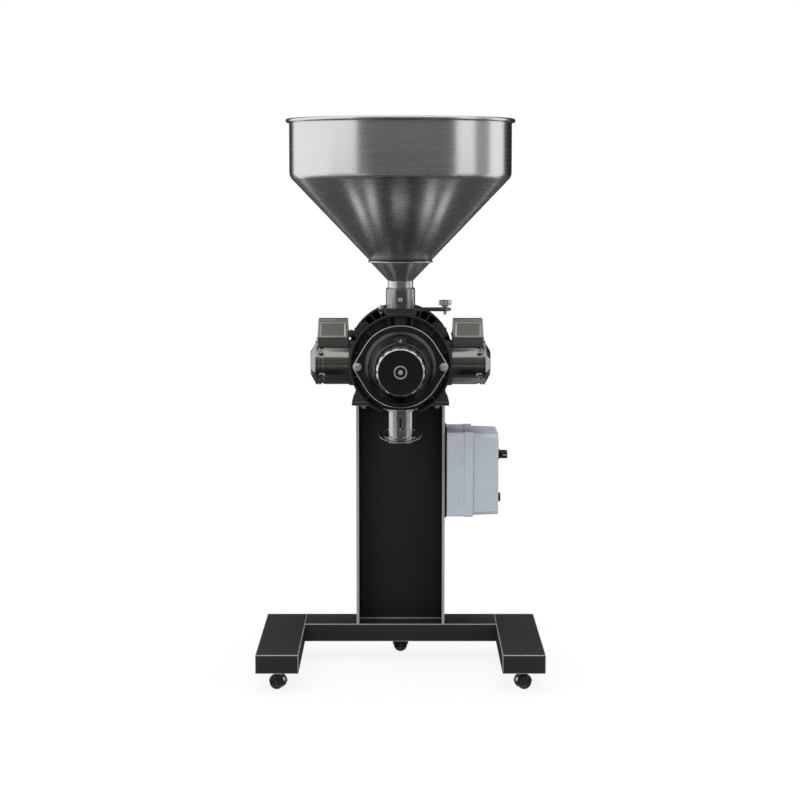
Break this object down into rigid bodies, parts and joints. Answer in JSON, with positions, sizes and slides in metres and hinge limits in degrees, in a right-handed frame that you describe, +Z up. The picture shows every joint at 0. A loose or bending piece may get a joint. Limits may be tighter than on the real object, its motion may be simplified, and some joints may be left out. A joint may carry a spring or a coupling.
{
  "type": "industrial coffee grinder",
  "caption": "Floor-standing coffee grinder: open steel hopper over a head with side motors and adjusting knob, bag spout, recessed column with control box, wheeled base.",
  "frame": {"origin": "on the floor, at the middle of the machine's width and depth", "axes": "+Z up, -Y to the person who stands at the knob and spout, +X to that person's right"},
  "size_m": [0.805, 0.712, 1.59],
  "materials": {
    "hopper_steel": "satin stainless sheet",
    "adaptor_steel": "polished stainless",
    "fastener_steel": "bright zinc plated",
    "spout_chrome": "polished",
    "feed_black": "gloss black",
    "gate_dark": "semi-gloss dark",
    "slide_steel": "brushed",
    "knob_metal": "satin",
    "head_dark": "satin",
    "cover_grey": "satin",
    "motor_metal": "cast, warm grey",
    "terminal_metal": "satin warm grey",
    "gland_black": "matte",
    "frame_black": "fine-textured black",
    "panel_black": "fine-textured black",
    "cowl_black": "satin black",
    "box_plastic": "light blue-grey",
    "switch_black": "matte",
    "button_black": "gloss",
    "wheel_black": "matte",
    "caster_chrome": "polished",
    "burr_steel": "ground tool steel",
    "shaft_steel": "turned",
    "fan_black": "matte"
  },
  "bodies": {
    "stand": {"base_legs": "frame_black", "leg_end_plates": "frame_black", "base_crossbar": "frame_black", "column_frame": "frame_black", "column_front_panel": "panel_black", "column_top_plate": "frame_black", "gear_housing": "head_dark", "throat_housing": "head_dark", "grinding_chamber": "head_dark", "feed_neck": "head_dark", "bell_ring": "head_dark", "outlet_chute": "head_dark", "housing_foot": "head_dark", "barrel_band": "head_dark", "barrel_fins": "head_dark", "ball_bearings": "shaft_steel", "front_cover": "cover_grey", "head_fasteners": "fastener_steel", "motor_shells": "motor_metal", "motor_end_caps": "motor_metal", "terminal_boxes": "terminal_metal", "terminal_lids": "terminal_metal", "cable_glands": "gland_black", "gate_block": "gate_dark", "feed_tube": "feed_black", "hopper_adaptor": "adaptor_steel", "hopper": "hopper_steel", "spout_tube": "spout_chrome", "control_box_rails": "frame_black", "control_box_base": "box_plastic", "control_box_lid": "box_plastic", "switch_plate": "switch_black", "button_collar": "switch_black", "fan_cover": "cowl_black"},
    "main_rotor": {"main_shaft": "shaft_steel", "burr_carrier": "shaft_steel", "rotating_burr": "burr_steel", "feed_auger": "burr_steel", "crown_wheel": "shaft_steel", "cooling_fan": "fan_black"},
    "left_rotor": {"motor_rotor_left": "shaft_steel", "motor_pinion_left": "shaft_steel"},
    "right_rotor": {"motor_rotor_right": "shaft_steel", "motor_pinion_right": "shaft_steel"},
    "adjuster": {"adjusting_knob": "cover_grey", "adjusting_spindle": "shaft_steel"},
    "burr_slide": {"fixed_burr": "burr_steel", "fixed_burr_plate": "shaft_steel"},
    "gate_slide": {"gate_slide": "slide_steel"},
    "gate_thumb_knob": {"gate_thumb_knob": "knob_metal"},
    "switch_handle": {"switch_handle": "switch_black"},
    "push_button": {"push_button": "button_black"},
    "spout_sleeve": {"spout_sleeve": "spout_chrome"},
    "bag_ring": {"bag_ring": "spout_chrome"},
    "caster_fork_front_left": {"caster_fork_front_left": "caster_chrome"},
    "caster_fork_front_right": {"caster_fork_front_right": "caster_chrome"},
    "caster_fork_rear": {"caster_fork_rear": "caster_chrome"},
    "caster_wheel_front_left": {"caster_wheel_front_left": "wheel_black"},
    "caster_wheel_front_right": {"caster_wheel_front_right": "wheel_black"},
    "caster_wheel_rear": {"caster_wheel_rear": "wheel_black"}
  },
  "joints": [
    {"name": "main_spin", "type": "hinge", "parent": "stand", "child": "main_rotor", "pos_m": [0, 0.109, 0.8835], "axis": [0, 1, 0], "continuous": true},
    {"name": "left_motor_spin", "type": "hinge", "parent": "stand", "child": "left_rotor", "pos_m": [-0.2, 0.068, 0.8835], "axis": [1, 0, 0], "continuous": true},
    {"name": "right_motor_spin", "type": "hinge", "parent": "stand", "child": "right_rotor", "pos_m": [0.2, 0.068, 0.8835], "axis": [1, 0, 0], "continuous": true},
    {"name": "grind_adjust", "type": "hinge", "parent": "stand", "child": "adjuster", "pos_m": [0, -0.2, 0.8835], "axis": [0, 1, 0], "range_deg": [0, 210]},
    {"name": "burr_feed", "type": "slide", "parent": "stand", "child": "burr_slide", "axis": [0, 1, 0], "range_m": [0, 0.0012]},
    {"name": "gate_pull", "type": "slide", "parent": "stand", "child": "gate_slide", "axis": [1, 0, 0], "range_m": [-0.056, 0]},
    {"name": "thumb_knob_turn", "type": "hinge", "parent": "gate_slide", "child": "gate_thumb_knob", "pos_m": [0.129, 0.023, 1.06], "axis": [0, 0, 1], "range_deg": [0, 180]},
    {"name": "main_switch_turn", "type": "hinge", "parent": "stand", "child": "switch_handle", "pos_m": [0.29, 0.109, 0.607], "axis": [1, 0, 0], "range_deg": [0, 90]},
    {"name": "button_press", "type": "slide", "parent": "stand", "child": "push_button", "axis": [-1, 0, 0], "range_m": [0, 0.003], "stiffness_N_per_m": 400, "springref_m": -0.004},
    {"name": "sleeve_drop", "type": "slide", "parent": "stand", "child": "spout_sleeve", "axis": [0, 0, -1], "range_m": [0, 0.028]},
    {"name": "bag_ring_tip", "type": "hinge", "parent": "spout_sleeve", "child": "bag_ring", "pos_m": [0, 0.026, 0.703], "axis": [-1, 0, 0], "range_deg": [0, 16]},
    {"name": "front_left_swivel", "type": "hinge", "parent": "stand", "child": "caster_fork_front_left", "pos_m": [-0.334, -0.295, 0.07], "axis": [0, 0, 1], "continuous": true},
    {"name": "front_left_roll", "type": "hinge", "parent": "caster_fork_front_left", "child": "caster_wheel_front_left", "pos_m": [-0.34246, -0.29192, 0.02], "axis": [0.342, 0.9397, 0], "continuous": true},
    {"name": "front_right_swivel", "type": "hinge", "parent": "stand", "child": "caster_fork_front_right", "pos_m": [0.334, -0.295, 0.07], "axis": [0, 0, 1], "continuous": true},
    {"name": "front_right_roll", "type": "hinge", "parent": "caster_fork_front_right", "child": "caster_wheel_front_right", "pos_m": [0.34246, -0.29192, 0.02], "axis": [-0.342, 0.9397, 0], "continuous": true},
    {"name": "rear_swivel", "type": "hinge", "parent": "stand", "child": "caster_fork_rear", "pos_m": [-0.009, 0.166, 0.07], "axis": [0, 0, 1], "continuous": true},
    {"name": "rear_roll", "type": "hinge", "parent": "caster_fork_rear", "child": "caster_wheel_rear", "pos_m": [0, 0.166, 0.02], "axis": [0, 1, 0], "continuous": true}
  ],
  "couplings": [
    {"joint": "left_motor_spin", "follows": "main_spin", "ratio": 3},
    {"joint": "right_motor_spin", "follows": "main_spin", "ratio": -3},
    {"joint": "burr_feed", "follows": "grind_adjust", "m_per_rad": 0.00031831}
  ]
}
